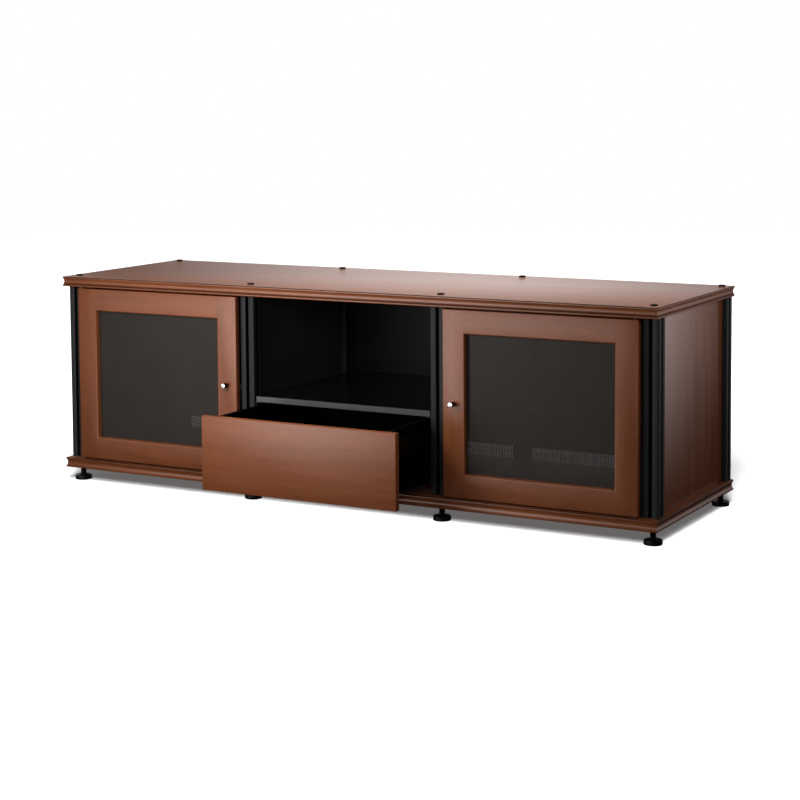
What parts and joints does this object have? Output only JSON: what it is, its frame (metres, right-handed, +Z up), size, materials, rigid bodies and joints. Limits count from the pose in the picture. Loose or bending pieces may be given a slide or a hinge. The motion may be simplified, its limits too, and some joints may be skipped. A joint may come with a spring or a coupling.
{
  "type": "media console",
  "caption": "Low media console with cove-edged veneered boards on slotted metal posts, framed doors with perforated inserts, an open shelf bay and a drawer.",
  "frame": {"origin": "on the floor under the middle of the overall box, with the drawer pulled out as pictured", "axes": "+X along the console to its right end as seen from the front, +Y from front to back, +Z up"},
  "size_m": [1.667, 0.706, 0.5485],
  "materials": {
    "board_veneer": "glossy lacquered cherry veneer",
    "side_veneer": "satin lacquered cherry veneer",
    "door_veneer": "satin lacquered cherry veneer",
    "drawer_veneer": "satin lacquered cherry veneer",
    "post_metal": "black anodised, satin",
    "rail_metal": "black, satin",
    "bolt_metal": "black, satin",
    "foot_plastic": "black, satin",
    "back_board": "black, fine textured",
    "divider_board": "black, smooth satin",
    "shelf_board": "black, glossy top",
    "box_board": "black, satin",
    "mesh_metal": "black perforated sheet, matt",
    "slide_steel": "black, satin",
    "pin_steel": "black, satin",
    "knob_metal": "satin nickel"
  },
  "bodies": {
    "carcass": {"top_board": "board_veneer", "bottom_board": "board_veneer", "post_front_1": "post_metal", "post_front_2": "post_metal", "post_front_3": "post_metal", "post_front_4": "post_metal", "post_rear_1": "post_metal", "post_rear_2": "post_metal", "post_rear_3": "post_metal", "post_rear_4": "post_metal", "cap_front_1": "bolt_metal", "cap_front_2": "bolt_metal", "cap_front_3": "bolt_metal", "cap_front_4": "bolt_metal", "cap_rear_1": "bolt_metal", "cap_rear_2": "bolt_metal", "cap_rear_3": "bolt_metal", "cap_rear_4": "bolt_metal", "side_panel_left": "side_veneer", "side_panel_right": "side_veneer", "divider_left": "divider_board", "back_panel_left": "back_board", "back_panel_middle": "back_board", "back_panel_right": "back_board", "shelf_left": "shelf_board", "shelf_middle": "shelf_board", "shelf_right": "shelf_board", "shelf_rail_left_1": "rail_metal", "shelf_rail_left_2": "rail_metal", "shelf_rail_middle_1": "rail_metal", "shelf_rail_middle_2": "rail_metal", "shelf_rail_right_1": "rail_metal", "shelf_rail_right_2": "rail_metal", "door_pin_left_lower": "pin_steel", "door_pin_left_upper": "pin_steel", "door_pin_right_lower": "pin_steel", "door_pin_right_upper": "pin_steel", "slide_channel_left": "slide_steel", "slide_channel_right": "slide_steel"},
    "door_left": {"door_frame_left": "door_veneer", "door_mesh_left": "mesh_metal", "door_knob_left": "knob_metal"},
    "door_right": {"door_frame_right": "door_veneer", "door_mesh_right": "mesh_metal", "door_knob_right": "knob_metal"},
    "drawer": {"drawer_front": "drawer_veneer", "drawer_side_left": "box_board", "drawer_side_right": "box_board", "drawer_back": "box_board", "drawer_bottom": "box_board", "slide_runner_left": "slide_steel", "slide_runner_right": "slide_steel"},
    "levelling_foot_front_1": {"foot_front_1": "foot_plastic"},
    "levelling_foot_front_2": {"foot_front_2": "foot_plastic"},
    "levelling_foot_front_3": {"foot_front_3": "foot_plastic"},
    "levelling_foot_front_4": {"foot_front_4": "foot_plastic"},
    "levelling_foot_rear_1": {"foot_rear_1": "foot_plastic"},
    "levelling_foot_rear_2": {"foot_rear_2": "foot_plastic"},
    "levelling_foot_rear_3": {"foot_rear_3": "foot_plastic"},
    "levelling_foot_rear_4": {"foot_rear_4": "foot_plastic"}
  },
  "joints": [
    {"name": "door_left_hinge", "type": "hinge", "parent": "carcass", "child": "door_left", "pos_m": [-0.778, -0.155, 0.291], "axis": [0, 0, -1], "range_deg": [0, 110]},
    {"name": "door_right_hinge", "type": "hinge", "parent": "carcass", "child": "door_right", "pos_m": [0.778, -0.155, 0.291], "axis": [0, 0, 1], "range_deg": [0, 110]},
    {"name": "drawer_slide", "type": "slide", "parent": "carcass", "child": "drawer", "axis": [0, -1, 0], "range_m": [-0.19, 0.11]},
    {"name": "foot_front_1_turn", "type": "hinge", "parent": "carcass", "child": "levelling_foot_front_1", "pos_m": [-0.8085, -0.126, 0], "axis": [0, 0, 1], "continuous": true},
    {"name": "foot_front_2_turn", "type": "hinge", "parent": "carcass", "child": "levelling_foot_front_2", "pos_m": [-0.2695, -0.126, 0], "axis": [0, 0, 1], "continuous": true},
    {"name": "foot_front_3_turn", "type": "hinge", "parent": "carcass", "child": "levelling_foot_front_3", "pos_m": [0.2695, -0.126, 0], "axis": [0, 0, 1], "continuous": true},
    {"name": "foot_front_4_turn", "type": "hinge", "parent": "carcass", "child": "levelling_foot_front_4", "pos_m": [0.8085, -0.126, 0], "axis": [0, 0, 1], "continuous": true},
    {"name": "foot_rear_1_turn", "type": "hinge", "parent": "carcass", "child": "levelling_foot_rear_1", "pos_m": [-0.8085, 0.329, 0], "axis": [0, 0, 1], "continuous": true},
    {"name": "foot_rear_2_turn", "type": "hinge", "parent": "carcass", "child": "levelling_foot_rear_2", "pos_m": [-0.2695, 0.329, 0], "axis": [0, 0, 1], "continuous": true},
    {"name": "foot_rear_3_turn", "type": "hinge", "parent": "carcass", "child": "levelling_foot_rear_3", "pos_m": [0.2695, 0.329, 0], "axis": [0, 0, 1], "continuous": true},
    {"name": "foot_rear_4_turn", "type": "hinge", "parent": "carcass", "child": "levelling_foot_rear_4", "pos_m": [0.8085, 0.329, 0], "axis": [0, 0, 1], "continuous": true}
  ]
}
